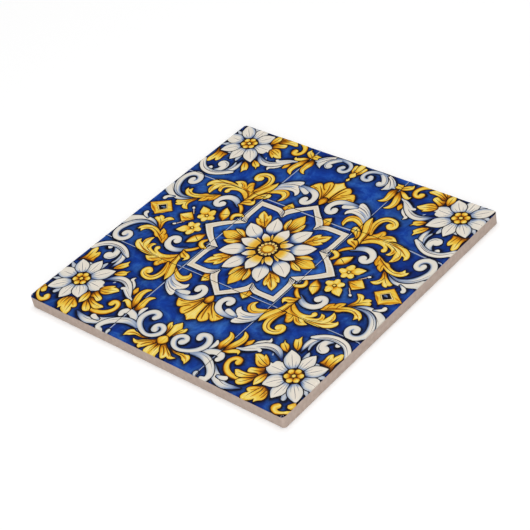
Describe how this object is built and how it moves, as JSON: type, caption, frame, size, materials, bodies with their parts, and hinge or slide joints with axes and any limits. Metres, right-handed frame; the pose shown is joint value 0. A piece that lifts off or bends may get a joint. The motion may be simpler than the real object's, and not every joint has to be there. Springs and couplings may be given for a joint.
{
  "type": "decorative wall tile",
  "caption": "Square ceramic tile lying on its back, with a glazed majolica face of scrolls, leaves and rosettes, softly rounded edges and a flat back to bond to a wall.",
  "frame": {"origin": "centre of the tile's back face", "axes": "+Z out of the decorated face, X and Y along the tile's sides"},
  "size_m": [0.108, 0.108, 0.0047],
  "materials": {
    "tile_body": "unglazed fired clay, matt, pinkish grey",
    "cobalt_ground": "glossy cobalt blue glaze with brushed clouding",
    "white_enamel": "glossy cream white glaze paint with blue shading",
    "yellow_enamel": "glossy yellow glaze paint with orange shading",
    "dark_linework": "glossy blue-black brush line"
  },
  "bodies": {
    "root": {"ceramic_tile": "tile_body"}
  },
  "joints": []
}
